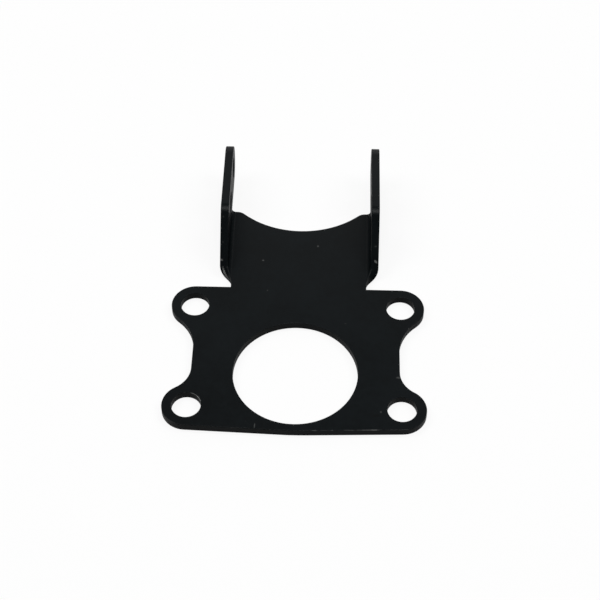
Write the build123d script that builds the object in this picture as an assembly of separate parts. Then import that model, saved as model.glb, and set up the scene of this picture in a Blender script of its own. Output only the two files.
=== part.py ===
from build123d import *
import math
import os

# Headlight bracket: one steel sheet, cut flat, folded up along two lines and coated.
# Origin: on the axis of the large bore, at the underside of the flat plate.
# +Z points up from the plate, +Y points back along the arms, +X to the right.
# Lengths are in millimetres and angles in degrees, and the coating is included.

# Sheet and its two folds
sheet_thickness = 3.0
bend_inner_radius = 1.5
bend_angle = 90.0
neutral_line_share = 0.45

# Four-hole plate
centre_bore_diameter = 44.2
plate_hole_diameter = 10.3
plate_hole_spacing_x = 75.0
plate_hole_spacing_y = 45.0
bore_to_front_holes = 15.0
lobe_radius = 8.6
waist_depth = 9.2
waist_front_radius = 10.0
waist_rear_radius = 17.0
front_land = 2.9
front_crown_radius = 130.0

# Web between the arms
neck_width = 50.0
neck_side_length = 4.4
web_length = 37.7
scoop_depth = 9.3
scoop_shoulder_radius = 4.0
scoop_shoulder_flat = 0.5

# Arms: flare_angle is how far the cut front edge leans back from square to the fold
flare_angle = 45.0
flare_start_radius = 5.0
arm_height = 15.5
arm_knee_radius = 5.0
arm_hole_diameter = 8.0
arm_hole_spacing = 18.0
knee_to_arm_holes = 9.6
end_hole_to_arm_tip = 8.6

# Places on the plate and the web
hole_x = plate_hole_spacing_x / 2
front_hole_y = -bore_to_front_holes
rear_hole_y = front_hole_y + plate_hole_spacing_y
waist_x = hole_x + lobe_radius - waist_depth
crown_y = -centre_bore_diameter / 2 - front_land
neck_x = neck_width / 2
plate_rear_y = rear_hole_y + lobe_radius
web_rear_y = plate_rear_y + web_length

# The folds, and the cut edge that leans back round them and up the arms
bend_axis_z = sheet_thickness + bend_inner_radius
bend_outer_radius = bend_inner_radius + sheet_thickness
neutral_radius = bend_inner_radius + neutral_line_share * sheet_thickness
flare_slope = math.tan(math.radians(flare_angle))
flare_turn = math.radians(90 - flare_angle)
flare_corner_y = plate_rear_y + neck_side_length
flare_start_y = flare_corner_y - flare_start_radius * math.tan(flare_turn / 2)
flare_end_y = flare_corner_y + neutral_radius * math.radians(bend_angle) * flare_slope
knee_y = flare_end_y + arm_height * flare_slope


def point_at(centre, radius, angle):
    """The point of a circle in the direction of an angle in degrees."""
    turn = math.radians(angle)
    return centre[0] + radius * math.cos(turn), centre[1] + radius * math.sin(turn)


def arc_about(centre, radius, start_angle, end_angle):
    """The arc of a circle between two angles in degrees."""
    return ThreePointArc(
        point_at(centre, radius, start_angle),
        point_at(centre, radius, (start_angle + end_angle) / 2),
        point_at(centre, radius, end_angle),
    )


def front_line():
    """The right half of the front edge: a crowned middle and a straight run to the lobe.

    It returns the direction from the front hole in which the run touches the lobe.
    """
    drop = crown_y - front_hole_y
    to_crown = math.degrees(math.atan2(drop, -hole_x))
    contact_angle = to_crown + math.degrees(math.acos(lobe_radius / math.hypot(hole_x, drop)))
    contact = point_at((hole_x, front_hole_y), lobe_radius, contact_angle)
    run_angle = math.atan2(contact[1] - crown_y, contact[0])
    side = math.copysign(1, run_angle)
    crown_centre = (0, crown_y + side * front_crown_radius / math.cos(run_angle))
    crown_end_angle = math.degrees(run_angle) - 90 * side
    arc_about(crown_centre, front_crown_radius, -90 * side, crown_end_angle)
    Line(point_at(crown_centre, front_crown_radius, crown_end_angle), contact)
    return contact_angle


def waist_hollow(lobe_y, hollow_radius, side):
    """Centre of the hollow arc between a lobe and the waist, and its direction from the lobe.

    side is +1 where the arc lies behind the lobe and -1 where it lies in front of it.
    """
    across = waist_x + hollow_radius - hole_x
    along = side * math.sqrt((lobe_radius + hollow_radius) ** 2 - across**2)
    return (waist_x + hollow_radius, lobe_y + along), math.degrees(math.atan2(along, across))


def waist_line(front_start_angle):
    """The right side of the plate: front lobe, hollow waist, rear lobe."""
    front_hollow, front_direction = waist_hollow(front_hole_y, waist_front_radius, 1)
    rear_hollow, rear_direction = waist_hollow(rear_hole_y, waist_rear_radius, -1)
    arc_about((hole_x, front_hole_y), lobe_radius, front_start_angle, front_direction)
    arc_about(front_hollow, waist_front_radius, front_direction + 180, 180)
    Line((waist_x, front_hollow[1]), (waist_x, rear_hollow[1]))
    arc_about(rear_hollow, waist_rear_radius, 180, rear_direction + 180)
    arc_about((hole_x, rear_hole_y), lobe_radius, rear_direction, 90)


def web_line():
    """The right half of the web: neck corner, side along the fold, shoulder and scooped edge."""
    shoulder_x = neck_x - scoop_shoulder_flat
    shoulder_centre = (shoulder_x, web_rear_y - scoop_shoulder_radius)
    reach = (shoulder_x**2 + scoop_depth**2) / (2 * scoop_depth)
    scoop_radius = reach - scoop_shoulder_radius
    scoop_centre = (0, web_rear_y - scoop_depth + scoop_radius)
    across = math.degrees(math.atan2(shoulder_centre[1] - scoop_centre[1], shoulder_x))
    Polyline((hole_x, plate_rear_y), (neck_x, plate_rear_y), (neck_x, web_rear_y), (shoulder_x, web_rear_y))
    arc_about(shoulder_centre, scoop_shoulder_radius, 90, across + 180)
    arc_about(scoop_centre, scoop_radius, across, -90)


def make_flat_part():
    """Plate and web in one flat piece, with the large bore and the four bolt holes."""
    with BuildPart() as flat:
        with BuildSketch():
            with BuildLine():
                waist_line(front_line())
                web_line()
                mirror(about=Plane.YZ)
            make_face()
            Circle(centre_bore_diameter / 2, mode=Mode.SUBTRACT)
            with Locations((0, (front_hole_y + rear_hole_y) / 2)):
                with GridLocations(plate_hole_spacing_x, plate_hole_spacing_y, 2, 2):
                    Circle(plate_hole_diameter / 2, mode=Mode.SUBTRACT)
        extrude(amount=sheet_thickness)
    return flat.part


def flare_line(radius):
    """The leaning cut edge, wrapped at some radius round a fold whose axis is Z.

    In the flat sheet it leaves the neck's side on an arc and then runs straight. It is drawn
    a little past the end of the fold.
    """
    steps = 6
    spare_turn = math.radians(5)
    arc_length = flare_start_radius * flare_turn
    arc_across = flare_start_radius * (1 - math.cos(flare_turn))
    run_across = neutral_radius * (math.radians(bend_angle) + spare_turn) - arc_across
    run_length = run_across / math.sin(flare_turn)
    travels = [arc_length * step / steps for step in range(steps)]
    travels += [arc_length + run_length * step / steps for step in range(steps + 1)]
    points = []
    for travel in travels:
        turned = min(travel / flare_start_radius, flare_turn)
        run = max(travel - arc_length, 0)
        along = flare_start_radius * math.sin(turned) + run * math.cos(flare_turn)
        across = flare_start_radius * (1 - math.cos(turned)) + run * math.sin(flare_turn)
        wrap = across / neutral_radius
        points.append((radius * math.cos(wrap), radius * math.sin(wrap), along))
    stretch = radius / neutral_radius
    end_direction = (-stretch * math.sin(wrap), stretch * math.cos(wrap), flare_slope)
    return Edge.make_spline(points, tangents=[(0, 0, 1), end_direction], parameters=travels)


def make_flare_cutter():
    """What lies in front of the leaning cut edge, square to the sheet all round the fold."""
    inner_line = flare_line(bend_inner_radius / 2)
    outer_line = flare_line(bend_outer_radius + bend_inner_radius / 2)
    cut_edge = Face.make_surface_from_curves(inner_line, outer_line)
    return extrude(cut_edge, amount=cut_edge.bounding_box().size.Z, dir=(0, 0, -1))


def make_left_fold():
    """The fold along the left side of the web, with the leaning cut edge at its front."""
    fold_length = web_rear_y - flare_start_y
    section = Rot(90, 0, 0) * Rectangle(sheet_thickness, fold_length)
    section = Pos((bend_inner_radius + bend_outer_radius) / 2, 0, fold_length / 2) * section
    fold = revolve(section, Axis.Z, bend_angle) - make_flare_cutter()
    fold_frame = Plane(origin=(-neck_x, flare_start_y, bend_axis_z), x_dir=(0, 0, -1), z_dir=(0, 1, 0))
    return fold_frame.location * fold


def make_left_arm():
    """The left arm, drawn on its outer face: leaning front edge, knee, round end, two holes."""
    turn = math.radians(bend_angle)
    foot_x = -neck_x - bend_outer_radius * math.sin(turn)
    foot_z = bend_axis_z - bend_outer_radius * math.cos(turn)
    outer_face = Plane(
        origin=(foot_x, 0, foot_z), x_dir=(0, 1, 0), z_dir=(math.sin(turn), 0, math.cos(turn))
    )
    end_radius = arm_height / 2
    first_hole = (knee_y + knee_to_arm_holes, end_radius)
    end_hole = (first_hole[0] + arm_hole_spacing, end_radius)
    end_centre = (end_hole[0] + end_hole_to_arm_tip - end_radius, end_radius)
    with BuildPart() as arm:
        with BuildSketch(outer_face):
            with BuildLine():
                leaning_edge = [(flare_end_y, 0), (knee_y, arm_height), (end_centre[0], arm_height)]
                FilletPolyline(*leaning_edge, radius=arm_knee_radius)
                arc_about(end_centre, end_radius, 90, -90)
                Line((end_centre[0], 0), (flare_end_y, 0))
            make_face()
            with Locations(first_hole, end_hole):
                Circle(arm_hole_diameter / 2, mode=Mode.SUBTRACT)
        extrude(amount=sheet_thickness)
    return arm.part


def make_bracket():
    """The folded sheet: the flat part, and on each side a fold and an arm."""
    left_side = make_left_fold() + make_left_arm()
    bracket = make_flat_part() + left_side + mirror(left_side, about=Plane.YZ)
    return bracket.clean()


os.makedirs("parts", exist_ok=True)
export_step(make_bracket(), "parts/headlight_bracket.step")
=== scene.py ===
import math

import bpy
from mathutils import Matrix, Vector


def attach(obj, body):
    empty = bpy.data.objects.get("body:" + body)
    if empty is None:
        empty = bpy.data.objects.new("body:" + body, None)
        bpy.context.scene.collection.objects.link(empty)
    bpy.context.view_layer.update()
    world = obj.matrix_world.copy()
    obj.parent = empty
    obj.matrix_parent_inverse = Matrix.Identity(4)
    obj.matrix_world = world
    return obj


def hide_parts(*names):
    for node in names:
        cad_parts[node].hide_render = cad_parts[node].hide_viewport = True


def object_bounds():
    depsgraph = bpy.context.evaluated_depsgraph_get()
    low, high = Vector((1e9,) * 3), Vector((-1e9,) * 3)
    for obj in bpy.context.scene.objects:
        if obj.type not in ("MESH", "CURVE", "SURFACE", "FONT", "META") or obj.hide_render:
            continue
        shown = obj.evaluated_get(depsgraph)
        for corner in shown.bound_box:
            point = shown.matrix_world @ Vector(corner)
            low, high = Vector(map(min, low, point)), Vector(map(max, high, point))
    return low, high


bl_info = {
    "name": "Headlight Bracket",
    "version": (1, 0, 0),
    "blender": (4, 5, 0),
    "location": "View3D > Sidebar > Bracket",
    "description": "Rounds, coats, wears and lights the folded headlight bracket",
    "category": "Add Mesh",
}

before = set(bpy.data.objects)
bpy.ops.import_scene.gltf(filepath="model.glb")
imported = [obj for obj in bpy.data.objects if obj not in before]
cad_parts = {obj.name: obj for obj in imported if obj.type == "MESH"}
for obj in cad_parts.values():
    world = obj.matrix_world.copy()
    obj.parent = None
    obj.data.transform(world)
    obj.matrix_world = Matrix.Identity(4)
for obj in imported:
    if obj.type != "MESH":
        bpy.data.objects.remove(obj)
CAD_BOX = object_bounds()
NODE = "headlight_bracket"
MM = 0.001
WHITE = (1.0, 1.0, 1.0)
BLACK = (0.0, 0.0, 0.0)


class BracketFinish(bpy.types.PropertyGroup):
    """Sizes and colours of the coated sheet."""

    edge_radius: bpy.props.FloatProperty(
        name="Edge radius",
        description="Radius to which the coat rounds each cut edge, where the folds' ends leave room for it",
        default=0.21 * MM,
        min=0.05 * MM,
        max=0.8 * MM,
        unit="LENGTH",
        precision=5,
    )
    edge_steps: bpy.props.IntProperty(
        name="Edge steps",
        description="Number of faces across each rounded edge",
        default=4,
        min=1,
        max=8,
    )
    coat_colour: bpy.props.FloatVectorProperty(
        name="Coat colour",
        description="Colour of the black coat",
        default=(0.0026, 0.0041, 0.0049),
        subtype="COLOR",
        min=0.0,
        max=1.0,
    )
    # The worn colour also paints the highlights on the folds' cut edges and along the rims.
    worn_and_glint_colour: bpy.props.FloatVectorProperty(
        name="Worn colour",
        description="Colour of the sheet where the coat is rubbed or chipped off",
        default=(0.34, 0.345, 0.335),
        subtype="COLOR",
        min=0.0,
        max=1.0,
    )
    dust_colour: bpy.props.FloatVectorProperty(
        name="Dust colour",
        description="Colour of the specks of dust",
        default=(0.30, 0.31, 0.30),
        subtype="COLOR",
        min=0.0,
        max=1.0,
    )
    coat_roughness: bpy.props.FloatProperty(
        name="Coat roughness",
        description="Roughness of the satin coat",
        default=0.34,
        min=0.0,
        max=1.0,
        subtype="FACTOR",
    )
    coat_shine: bpy.props.FloatProperty(
        name="Coat shine",
        description="How strongly the coat reflects",
        default=0.1,
        min=0.0,
        max=1.0,
        subtype="FACTOR",
    )
    # The rub all round the rounded edges is partly wear and partly painted highlight.
    edge_rub_and_highlight: bpy.props.FloatProperty(
        name="Edge rub",
        description="How strongly the rounded edges are rubbed all round",
        default=0.015,
        min=0.0,
        max=1.0,
        subtype="FACTOR",
    )


class BracketStage(bpy.types.PropertyGroup):
    """Floor, light and camera."""

    floor_size: bpy.props.FloatProperty(
        name="Floor size",
        description="Side of the square floor",
        default=6.0,
        min=0.5,
        unit="LENGTH",
    )
    floor_colour: bpy.props.FloatVectorProperty(
        name="Floor colour",
        description="Colour with which the floor lights the bracket",
        default=(0.5, 0.5, 0.5),
        subtype="COLOR",
        min=0.0,
        max=1.0,
    )
    room_level: bpy.props.FloatProperty(
        name="Room level",
        description="Strength of the even light from all round",
        default=0.05,
        min=0.0,
    )
    light_level: bpy.props.FloatProperty(
        name="Light level",
        description="Light that the lamps give the floor, where 1 shows a colour as it is written",
        default=1.0,
        min=0.0,
    )
    white_share: bpy.props.FloatProperty(
        name="White share",
        description="How much of the floor's look is plain white, which no shadow darkens",
        default=0.85,
        min=0.0,
        max=1.0,
        subtype="FACTOR",
    )
    mirrored_share: bpy.props.FloatProperty(
        name="Mirrored share",
        description="How much of the white background is also seen in reflections",
        default=0.1,
        min=0.0,
        max=1.0,
        subtype="FACTOR",
    )
    camera_place: bpy.props.FloatVectorProperty(
        name="Camera place",
        description="Where the camera stands",
        default=(0.01113, -0.31840, 0.43125),
        subtype="TRANSLATION",
        unit="LENGTH",
    )
    camera_heading: bpy.props.FloatProperty(
        name="Camera heading",
        description="Turn of the camera to the left of straight back",
        default=0.02955,
        subtype="ANGLE",
    )
    camera_tilt: bpy.props.FloatProperty(
        name="Camera tilt",
        description="Angle by which the camera looks down",
        default=math.radians(50.62),
        subtype="ANGLE",
    )
    camera_roll: bpy.props.FloatProperty(
        name="Camera roll",
        description="Turn of the camera about its own line of sight",
        default=-0.0015,
        subtype="ANGLE",
    )
    camera_lens: bpy.props.FloatProperty(
        name="Lens",
        description="Focal length for a sensor 36 mm wide",
        default=90.72,
        min=10.0,
    )


class Maths:
    """A number in a shader. Arithmetic on it adds Math nodes to the same tree."""

    def __init__(self, shader, socket):
        self.shader = shader
        self.socket = socket

    def combine(self, operation, first, second):
        return self.shader.node(
            "ShaderNodeMath", {"operation": operation}, {0: first, 1: second}
        )["Value"]

    def __add__(self, other):
        return self.combine("ADD", self, other)

    def __radd__(self, other):
        return self.combine("ADD", other, self)

    def __sub__(self, other):
        return self.combine("SUBTRACT", self, other)

    def __rsub__(self, other):
        return self.combine("SUBTRACT", other, self)

    def __mul__(self, other):
        return self.combine("MULTIPLY", self, other)

    def __rmul__(self, other):
        return self.combine("MULTIPLY", other, self)

    def step(self, start, end):
        """0 where the value is at start, 1 where it is at end, and a smooth step between."""
        return self.shader.node(
            "ShaderNodeMapRange",
            {"interpolation_type": "SMOOTHSTEP"},
            {"Value": self, "From Min": start, "From Max": end},
        )["Result"]


class Outputs:
    """A node's output sockets. A number comes back as Maths, anything else as the socket."""

    def __init__(self, shader, node):
        self.shader = shader
        self.outputs = node.outputs

    def wrap(self, socket):
        return Maths(self.shader, socket) if socket.type == "VALUE" else socket

    def __getitem__(self, name):
        return self.wrap(self.outputs[name])

    def of_kind(self, kind):
        """The output of one kind, where a node has several of the same name."""
        return next(self.wrap(socket) for socket in self.outputs if socket.type == kind)


class Shader:
    """The nodes of one material or world, started empty."""

    def __init__(self, tree):
        self.tree = tree
        self.tree.nodes.clear()

    def node(self, kind, settings=None, sockets=None):
        """Adds a node, sets it up, fills or links its sockets, and returns its outputs.

        A socket goes by its name, or by its number where a node has several of one name.
        """
        made = self.tree.nodes.new(kind)
        for name, value in (settings or {}).items():
            setattr(made, name, value)
        for name, value in (sockets or {}).items():
            if isinstance(value, Maths):
                self.tree.links.new(value.socket, made.inputs[name])
            elif isinstance(value, bpy.types.NodeSocket):
                self.tree.links.new(value, made.inputs[name])
            else:
                made.inputs[name].default_value = value
        return Outputs(self, made)

    def place(self):
        """The place on the piece, in metres."""
        return self.node("ShaderNodeTexCoord")["Object"]

    def noise(self, place, wave, detail=2.0, roughness=0.5):
        """A cloudy value about 0.5, whose waves are some millimetres long."""
        return self.node(
            "ShaderNodeTexNoise",
            {"noise_dimensions": "3D"},
            {"Vector": place, "Scale": 1.0 / (wave * MM), "Detail": detail, "Roughness": roughness},
        )["Fac"]

    def mix(self, share, first, second):
        """The colour that goes from first to second as share goes from 0 to 1."""
        return self.node(
            "ShaderNodeMix", {"data_type": "RGBA"}, {"Factor": share, 6: first, 7: second}
        ).of_kind("RGBA")

    def mark(self, place, centre, reach, turn, ragged):
        """1 in an oval spot and 0 outside it. Its rim is ragged, and turn is about Z in degrees."""
        inside = self.node(
            "ShaderNodeMapping",
            {"vector_type": "TEXTURE"},
            {
                "Vector": place,
                "Location": Vector(centre) * MM,
                "Rotation": (0.0, 0.0, math.radians(turn)),
                "Scale": Vector(reach) * MM,
            },
        )["Vector"]
        out = self.node("ShaderNodeVectorMath", {"operation": "LENGTH"}, {0: inside})["Value"]
        return (out + ragged).step(1.0, MARK_CORE)

    def marks(self, place, spots, wave):
        """The summed strength of a list of marks, whose rims wander in waves of some millimetres."""
        ragged = (self.noise(place, wave) - 0.5) * MARK_RAGGEDNESS
        total = 0.0
        for centre, reach, turn, strength in spots:
            total = self.mark(place, centre, reach, turn, ragged) * strength + total
        return total


def colour(rgb):
    """A colour with full opacity, as a socket takes it."""
    return (*rgb, 1.0)


# Waves of the coat's patterns, in millimetres
CLOUD_WAVE = 26.0
MOTTLE_WAVE = 2.2
RUB_AND_HIGHLIGHT_WAVE = 3.5
PEEL_WAVE = 1.3
GRAIN_WAVE = 0.25
SMUDGE_WAVE = 1.4
DUST_WAVE = 0.5
WORN_AND_GLINT_WAVE = 0.7

# Darkest and palest parts of the coat, as shares of its colour, and the depth of its orange peel
DARK_SHARE = 0.80
PALE_SHARE = 1.20
PEEL_DEPTH = 0.012 * MM
PEEL_STRENGTH = 0.25

# How far a mark's rim wanders, and where inside it the mark is at full strength, as shares of its reach
MARK_RAGGEDNESS = 0.7
MARK_CORE = 0.45

# Marks on the coat, in millimetres: centre, reach along X, Y and Z, turn about Z in degrees, strength
DUST = [
    ((-13.6, 51.8, 3.0), (0.50, 0.42, 0.5), 20, 0.20),
    ((6.8, 59.4, 3.0), (0.52, 0.55, 0.5), 0, 0.15),
    ((-11.4, 37.2, 3.0), (0.32, 0.48, 0.5), 0, 0.09),
    ((17.5, 22.4, 3.0), (0.45, 0.30, 0.5), 0, 0.06),
    ((40.3, 20.8, 3.0), (0.28, 0.30, 0.5), 0, 0.10),
    ((30.1, -16.3, 3.0), (0.42, 0.55, 0.5), 0, 0.11),
    ((-28.5, 60.4, 17.4), (0.5, 0.5, 0.5), 0, 0.06),
    ((-28.5, 53.7, 10.7), (0.4, 0.5, 0.5), 0, 0.05),
    ((28.3, 53.4, 10.4), (0.6, 0.4, 0.4), 0, 0.09),
]
SCRATCHES = [
    ((-13.3, -23.2, 3.0), (0.26, 1.35, 0.5), -2, 0.15),
    ((-16.5, -21.5, 3.0), (0.10, 0.50, 0.5), -30, 0.03),
]
SMUDGES = [
    ((28.3, -17.9, 3.0), (1.9, 0.8, 0.5), 12, 0.45),
    ((26.8, -17.2, 3.0), (1.2, 0.6, 0.5), 30, 0.25),
    ((31.5, -2.5, 3.0), (2.6, 0.9, 0.5), 25, 0.22),
]
# Bare shiny spots on each fold's cut edge, partly scraped coat and partly painted highlight, the glints of
# light along those edges; and a chip at a rim
SCRAPES_AND_GLINTS = [
    ((-29.0, 49.0, 6.1), (1.1, 0.5, 0.6), -30, 0.34),
    ((28.4, 49.3, 6.4), (1.2, 0.45, 0.6), -42, 0.42),
    ((-28.4, 47.1, 4.1), (0.5, 0.6, 0.6), 0, 0.15),
    ((-28.2, 46.5, 3.5), (0.5, 0.6, 0.6), 0, 0.45),
    ((-28.0, 46.0, 3.0), (0.5, 0.6, 0.6), 0, 0.80),
    ((-27.7, 45.6, 2.5), (0.5, 0.6, 0.6), 0, 0.80),
    ((-27.4, 45.1, 2.1), (0.5, 0.6, 0.6), 0, 0.60),
    ((-27.0, 44.6, 1.7), (0.5, 0.6, 0.6), 0, 0.45),
    ((-26.6, 44.2, 1.4), (0.5, 0.6, 0.6), 0, 0.30),
    ((-26.1, 43.7, 1.1), (0.5, 0.6, 0.6), 0, 0.25),
    ((36.5, -1.4, 3.0), (1.3, 0.55, 0.6), 0, 0.12),
]
# Rubbed stretches of the rounded edges, partly worn coat and partly painted highlight along the rims
RUBS_AND_HIGHLIGHTS = [
    ((-33.1, -12.0, 2.9), (1.0, 2.1, 0.6), 30, 0.62),
    ((-35.0, -10.4, 2.9), (1.9, 0.8, 0.6), -28, 0.26),
    ((-21.0, -24.6, 2.9), (1.9, 0.8, 0.6), 0, 0.05),
    ((7.3, -24.9, 2.9), (1.5, 0.8, 0.6), 0, 0.16),
    ((10.6, -24.8, 2.9), (1.6, 0.8, 0.6), 0, 0.06),
    ((13.4, -24.8, 2.9), (0.6, 0.8, 0.6), 0, 0.16),
    ((19.4, -24.5, 2.9), (2.6, 0.8, 0.6), 0, 0.10),
    ((26.0, -24.1, 2.9), (4.8, 0.9, 0.7), 2, 0.18),
    ((27.7, -24.0, 2.9), (1.4, 0.9, 0.7), 2, 0.20),
    ((36.5, -23.7, 2.9), (5.2, 0.9, 0.6), 2, 0.05),
    ((-42.9, -22.0, 2.9), (3.0, 3.0, 0.6), 0, 0.07),
    ((26.6, 55.5, 12.5), (0.6, 8.0, 8.0), 0, 0.06),
    ((-26.6, 58.5, 15.5), (0.6, 3.0, 3.0), 0, 0.02),
]


def coat_material(name, finish, rubbed_and_highlit):
    """Satin black powder coat: faint clouds, orange peel, dust, scratches, scrapes and rubs; the scrapes and
    rubs are partly wear and partly painted highlights on the cut edges and rims.

    The last argument is how far it is worn through all over, partly wear and partly painted highlight, and
    only the rounded edges have that.
    """
    material = bpy.data.materials.new(name)
    material.use_nodes = True
    shader = Shader(material.node_tree)
    place = shader.place()

    clouds = shader.noise(place, CLOUD_WAVE, 3.0, 0.55)
    mottle = shader.noise(place, MOTTLE_WAVE, 3.0, 0.6)
    dark = colour([DARK_SHARE * part for part in finish.coat_colour])
    pale = colour([PALE_SHARE * part for part in finish.coat_colour])
    coat = shader.mix((clouds * 0.6 + mottle * 0.4).step(0.36, 0.64), dark, pale)
    smudge = shader.marks(place, SMUDGES, SMUDGE_WAVE)
    coat = shader.mix(smudge, coat, colour(BLACK))
    dust = shader.marks(place, DUST + SCRATCHES, DUST_WAVE)
    coat = shader.mix(dust, coat, colour(finish.dust_colour))

    # Bare-metal marks, partly wear and partly painted highlights and glints on the cut edges and rims.
    worn_and_glint = shader.marks(place, SCRAPES_AND_GLINTS + (RUBS_AND_HIGHLIGHTS if rubbed_and_highlit else []), WORN_AND_GLINT_WAVE)
    if rubbed_and_highlit:
        patches = shader.noise(place, RUB_AND_HIGHLIGHT_WAVE, 4.0, 0.7).step(0.42, 0.72)
        worn_and_glint = patches * rubbed_and_highlit + worn_and_glint
    base = shader.mix(worn_and_glint, coat, colour(finish.worn_and_glint_colour))

    rough = clouds * 0.08 + mottle * 0.06 + (finish.coat_roughness - 0.07) + smudge * 0.12 + dust * 0.5
    peel = shader.noise(place, PEEL_WAVE)
    grain = shader.noise(place, GRAIN_WAVE, 1.0)
    height = peel + grain * 0.15 - worn_and_glint * 1.5 + dust * 2.0
    bump = shader.node(
        "ShaderNodeBump",
        {},
        {"Strength": PEEL_STRENGTH, "Distance": PEEL_DEPTH, "Height": height},
    )
    surface = shader.node(
        "ShaderNodeBsdfPrincipled",
        {},
        {
            "Base Color": base,
            "Roughness": rough,
            "Metallic": worn_and_glint * 0.6,
            "Normal": bump["Normal"],
            "Specular IOR Level": finish.coat_shine,
        },
    )["BSDF"]
    shader.node("ShaderNodeOutputMaterial", {}, {"Surface": surface})
    return material


def select_only(piece):
    """Deselects everything, then selects one object and makes it the active one."""
    bpy.ops.object.select_all(action="DESELECT")
    piece.select_set(True)
    bpy.context.view_layer.objects.active = piece


class BRACKET_OT_coated_sheet(bpy.types.Operator):
    """Model the folded sheet with the rounded edges that its coat gives it"""

    bl_idname = "bracket.coated_sheet"
    bl_label = "Coated sheet"
    bl_options = {"REGISTER", "UNDO"}

    weld_distance = 0.05 * MM
    flat_angle = math.radians(0.4)
    sharp_angle = math.radians(35)

    def execute(self, context):
        finish = context.scene.bracket_finish
        sheet = bpy.data.objects.new("coated_sheet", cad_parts[NODE].data.copy())
        context.scene.collection.objects.link(sheet)
        sheet.data.materials.clear()
        sheet.data.materials.append(coat_material("black_powder_coat", finish, 0.0))
        # The second material paints highlights along the rounded edges as well as their wear.
        sheet.data.materials.append(coat_material("rubbed_and_highlit_edges", finish, finish.edge_rub_and_highlight))
        select_only(sheet)
        bpy.ops.object.mode_set(mode="EDIT")
        bpy.ops.mesh.select_mode(type="EDGE")
        bpy.ops.mesh.select_all(action="SELECT")
        bpy.ops.mesh.remove_doubles(threshold=self.weld_distance)
        bpy.ops.mesh.dissolve_limited(angle_limit=self.flat_angle)
        bpy.ops.mesh.select_all(action="DESELECT")
        bpy.ops.mesh.edges_select_sharp(sharpness=self.sharp_angle)
        bpy.ops.mesh.bevel(
            offset=finish.edge_radius,
            segments=finish.edge_steps,
            profile=0.5,
            affect="EDGES",
            clamp_overlap=True,
            loop_slide=False,
            material=1,
        )
        bpy.ops.object.mode_set(mode="OBJECT")
        bpy.ops.object.shade_smooth()
        normals = sheet.modifiers.new("Flat faces stay flat", "WEIGHTED_NORMAL")
        bpy.ops.object.modifier_apply(modifier=normals.name)
        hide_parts(NODE)
        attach(sheet, "root")
        return {"FINISHED"}


# Soft lamps: turn to the right of straight back and height above the floor in degrees,
# distance and size in metres, and share of the light level
LAMPS = [
    ("Left lamp", -80, 55, 1.3, 0.7, 0.26),
    ("Right lamp", 80, 55, 1.3, 0.7, 0.26),
    ("Top lamp", 180, 80, 1.3, 0.5, 0.36),
    ("Back lamp", 0, 29, 1.5, 1.2, 0.10),
]


def add_lamp(name, turn, height, distance, size, level):
    """A square area lamp that faces the bracket and lights the floor there to a level."""
    turn, height = math.radians(turn), math.radians(height)
    across = math.cos(height)
    towards = Vector((math.sin(turn) * across, math.cos(turn) * across, math.sin(height)))
    data = bpy.data.lights.new(name, "AREA")
    data.shape = "SQUARE"
    data.size = size
    data.energy = level * (math.pi * distance) ** 2 / towards.z
    lamp = bpy.data.objects.new(name, data)
    bpy.context.scene.collection.objects.link(lamp)
    middle = (CAD_BOX[0] + CAD_BOX[1]) / 2
    lamp.location = middle + towards * distance
    lamp.rotation_euler = (-towards).to_track_quat("-Z", "Y").to_euler()


def background_share(shader, stage):
    """Two shares of the white background: what the camera sees, and that with reflections added.

    Both are 1 to the camera. The second is the mirrored share in a reflection.
    """
    rays = shader.node("ShaderNodeLightPath")
    camera = rays["Is Camera Ray"]
    mirrored = rays["Is Glossy Ray"] + rays["Is Transmission Ray"]
    return camera, camera + mirrored * stage.mirrored_share


def floor_material(stage):
    """Pale floor, which the camera sees as white with the bracket's shadow on it."""
    material = bpy.data.materials.new("pale_floor")
    material.use_nodes = True
    shader = Shader(material.node_tree)
    camera, seen = background_share(shader, stage)
    tone = shader.mix(camera, colour(stage.floor_colour), colour(WHITE))
    lit = shader.node(
        "ShaderNodeBsdfPrincipled",
        {},
        {"Base Color": tone, "Roughness": 0.9, "Specular IOR Level": 0.0},
    )["BSDF"]
    white = shader.node("ShaderNodeEmission", {}, {"Color": colour(WHITE), "Strength": 1.0})["Emission"]
    share = seen * stage.white_share
    surface = shader.node("ShaderNodeMixShader", {}, {0: share, 1: lit, 2: white})["Shader"]
    shader.node("ShaderNodeOutputMaterial", {}, {"Surface": surface})
    return material


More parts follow.
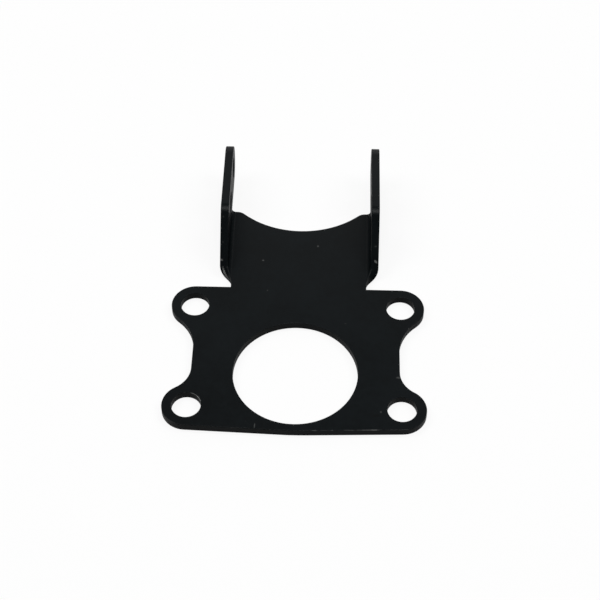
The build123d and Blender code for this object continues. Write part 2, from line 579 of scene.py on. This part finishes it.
class BRACKET_OT_stage(bpy.types.Operator):
    """Set the floor, the soft light and the camera"""

    bl_idname = "bracket.stage"
    bl_label = "Stage"
    bl_options = {"REGISTER", "UNDO"}

    floor_gap = 0.02 * MM

    def execute(self, context):
        stage = context.scene.bracket_stage
        self.add_floor(stage)
        self.add_room(context, stage)
        for name, turn, height, distance, size, share in LAMPS:
            add_lamp(name, turn, height, distance, size, share * stage.light_level)
        self.add_camera(context, stage)
        context.scene.view_settings.view_transform = "Standard"
        return {"FINISHED"}

    def add_floor(self, stage):
        bpy.ops.object.select_all(action="DESELECT")
        level = CAD_BOX[0].z - self.floor_gap
        bpy.ops.mesh.primitive_plane_add(size=stage.floor_size, location=(0, 0, level))
        floor = bpy.context.active_object
        floor.name = "floor"
        floor.data.materials.append(floor_material(stage))

    def add_room(self, context, stage):
        """Dim even light from all round, which the camera sees as white."""
        world = bpy.data.worlds.new("Room")
        world.use_nodes = True
        context.scene.world = world
        shader = Shader(world.node_tree)
        seen = background_share(shader, stage)[1]
        level = seen * (1.0 - stage.room_level) + stage.room_level
        light = shader.node("ShaderNodeBackground", {}, {"Color": colour(WHITE), "Strength": level})
        shader.node("ShaderNodeOutputWorld", {}, {"Surface": light["Background"]})

    def add_camera(self, context, stage):
        across = math.cos(stage.camera_tilt)
        ahead = Vector(
            (
                -math.sin(stage.camera_heading) * across,
                math.cos(stage.camera_heading) * across,
                -math.sin(stage.camera_tilt),
            )
        )
        right = Vector((math.cos(stage.camera_heading), math.sin(stage.camera_heading), 0))
        up = right.cross(ahead)
        turn = Matrix((right, up, -ahead)).transposed() @ Matrix.Rotation(stage.camera_roll, 3, "Z")
        data = bpy.data.cameras.new("Camera")
        data.lens = stage.camera_lens
        data.sensor_width = 36.0
        camera = bpy.data.objects.new("Camera", data)
        context.scene.collection.objects.link(camera)
        camera.matrix_world = Matrix.Translation(stage.camera_place) @ turn.to_4x4()
        context.scene.camera = camera


class BRACKET_PT_panel(bpy.types.Panel):
    """Lists the steps that build the bracket"""

    bl_idname = "BRACKET_PT_panel"
    bl_label = "Headlight bracket"
    bl_space_type = "VIEW_3D"
    bl_region_type = "UI"
    bl_category = "Bracket"

    def draw(self, context):
        layout = self.layout
        for group, operator in (("bracket_finish", STEPS[0]), ("bracket_stage", STEPS[1])):
            box = layout.box()
            settings = getattr(context.scene, group)
            for name in settings.__annotations__:
                box.prop(settings, name)
            box.operator(operator.bl_idname)


GROUPS = (BracketFinish, BracketStage)
STEPS = (BRACKET_OT_coated_sheet, BRACKET_OT_stage)


def register():
    for made in (*GROUPS, *STEPS, BRACKET_PT_panel):
        bpy.utils.register_class(made)
    bpy.types.Scene.bracket_finish = bpy.props.PointerProperty(type=BracketFinish)
    bpy.types.Scene.bracket_stage = bpy.props.PointerProperty(type=BracketStage)


def unregister():
    del bpy.types.Scene.bracket_stage
    del bpy.types.Scene.bracket_finish
    for made in (BRACKET_PT_panel, *reversed(STEPS), *reversed(GROUPS)):
        bpy.utils.unregister_class(made)


def main():
    register()
    bpy.ops.bracket.coated_sheet()
    bpy.ops.bracket.stage()


if __name__ == "__main__":
    main()
